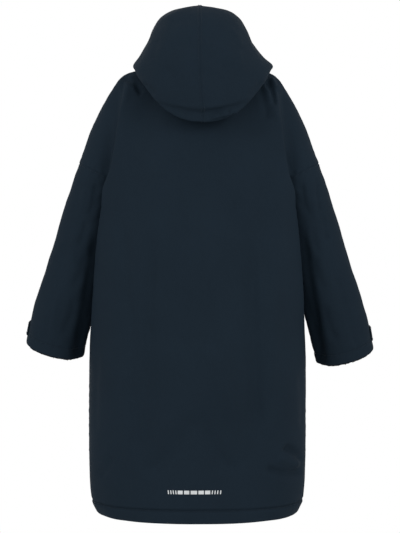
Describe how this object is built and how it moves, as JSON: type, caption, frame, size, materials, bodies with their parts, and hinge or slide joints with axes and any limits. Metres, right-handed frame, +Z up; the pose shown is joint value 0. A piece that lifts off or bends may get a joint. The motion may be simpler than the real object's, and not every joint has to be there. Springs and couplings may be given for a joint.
{
  "type": "hooded changing robe",
  "caption": "Long hooded changing robe with dropped shoulders, wide sleeves and a front zip, hollow and standing as worn.",
  "frame": {"origin": "on the mid plane where the wearer's shoulders carry the robe, at shoulder height", "axes": "+Z up, -Y is the front with the zip, +X is the wearer's left"},
  "size_m": [0.8478, 0.3652, 1.2059],
  "materials": {
    "shell": "matte waterproof woven shell",
    "lining": "matte deep pile fleece",
    "tape": "matte woven zip tape",
    "metal": "satin dark"
  },
  "bodies": {
    "robe": {"back_upper_left": "shell", "back_upper_right": "shell", "back_lower_left": "shell", "back_lower_right": "shell", "front_upper_left": "shell", "front_upper_right": "shell", "front_lower_left": "shell", "front_lower_right": "shell", "sleeve_left": "shell", "sleeve_right": "shell", "hood_panel_left": "shell", "hood_panel_right": "shell", "zip_tape_left": "tape", "zip_tape_right": "tape", "zip_slider": "metal", "cuff_tab_left": "shell", "cuff_tab_right": "shell", "cuff_lining_left": "lining", "cuff_lining_right": "lining"},
    "pull": {"zip_pull": "metal"}
  },
  "joints": [
    {"name": "pull_swing", "type": "hinge", "parent": "robe", "child": "pull", "pos_m": [0.00002, -0.10085, -0.06196], "axis": [-1, 0, 0], "range_deg": [0, 150]}
  ]
}
